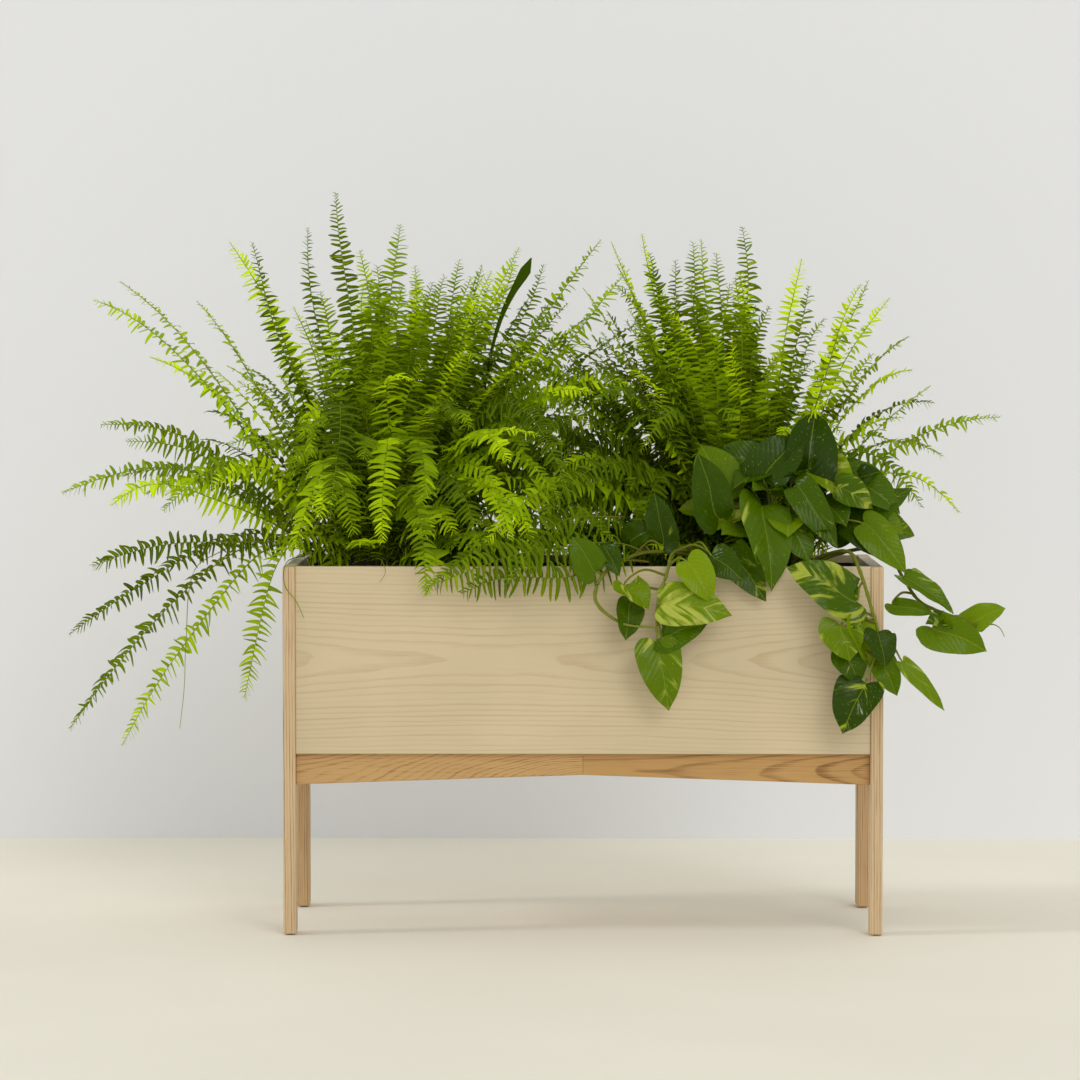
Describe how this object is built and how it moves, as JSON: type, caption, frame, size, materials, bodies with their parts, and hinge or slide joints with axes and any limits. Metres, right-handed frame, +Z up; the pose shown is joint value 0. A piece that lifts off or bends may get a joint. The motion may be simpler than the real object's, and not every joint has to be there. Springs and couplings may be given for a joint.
{
  "type": "floor planter",
  "caption": "Free-standing rectangular wooden planter on legs, with a black lift-out liner full of soil, arching ferns and a trailing pothos.",
  "frame": {"origin": "on the floor under the middle of the woodwork", "axes": "+X along the front towards the end with the trailing pothos, +Y from the front to the back, +Z up"},
  "size_m": [1.459, 0.5586, 1.136],
  "materials": {
    "pale_wood": "satin",
    "leg_wood": "satin",
    "honey_wood": "satin",
    "plain_wood": "matte",
    "dowel_wood": "matte",
    "screw_steel": "satin",
    "glide_plastic": "matte",
    "liner_plastic": "satin",
    "soil": "matte",
    "fern_leaf": "matte",
    "pothos_leaf": "satin"
  },
  "bodies": {
    "woodwork": {"front_panel": "pale_wood", "back_panel": "pale_wood", "left_side_panel": "pale_wood", "right_side_panel": "pale_wood", "leg_front_left": "leg_wood", "leg_front_right": "leg_wood", "leg_back_left": "leg_wood", "leg_back_right": "leg_wood", "front_apron_left": "honey_wood", "front_apron_right": "honey_wood", "back_apron_left": "honey_wood", "back_apron_right": "honey_wood", "left_side_apron": "honey_wood", "right_side_apron": "honey_wood", "apron_splice_front": "plain_wood", "apron_splice_back": "plain_wood", "bottom_cleat_front": "plain_wood", "bottom_cleat_back": "plain_wood", "bottom_slat_1": "plain_wood", "bottom_slat_2": "plain_wood", "bottom_slat_3": "plain_wood", "bottom_slat_4": "plain_wood", "bottom_slat_5": "plain_wood", "bottom_slat_6": "plain_wood", "bottom_slat_7": "plain_wood", "bottom_slat_8": "plain_wood", "foot_glide_front_left": "glide_plastic", "foot_glide_front_right": "glide_plastic", "foot_glide_back_left": "glide_plastic", "foot_glide_back_right": "glide_plastic", "dowel_panel_upper_front_left": "dowel_wood", "dowel_panel_upper_front_right": "dowel_wood", "dowel_panel_upper_back_left": "dowel_wood", "dowel_panel_upper_back_right": "dowel_wood", "dowel_panel_lower_front_left": "dowel_wood", "dowel_panel_lower_front_right": "dowel_wood", "dowel_panel_lower_back_left": "dowel_wood", "dowel_panel_lower_back_right": "dowel_wood", "dowel_apron_front_left": "dowel_wood", "dowel_apron_front_right": "dowel_wood", "dowel_apron_back_left": "dowel_wood", "dowel_apron_back_right": "dowel_wood", "cleat_screw_front_1": "screw_steel", "cleat_screw_front_2": "screw_steel", "cleat_screw_front_3": "screw_steel", "splice_screw_front_left": "screw_steel", "splice_screw_front_right": "screw_steel", "cleat_screw_back_1": "screw_steel", "cleat_screw_back_2": "screw_steel", "cleat_screw_back_3": "screw_steel", "splice_screw_back_left": "screw_steel", "splice_screw_back_right": "screw_steel"},
    "liner_set": {"liner": "liner_plastic", "soil_bed": "soil", "fern_left": "fern_leaf", "fern_right": "fern_leaf", "pothos": "pothos_leaf"}
  },
  "joints": [
    {"name": "liner_lift", "type": "slide", "parent": "woodwork", "child": "liner_set", "axis": [0, 0, 1], "range_m": [0, 0.3]}
  ]
}
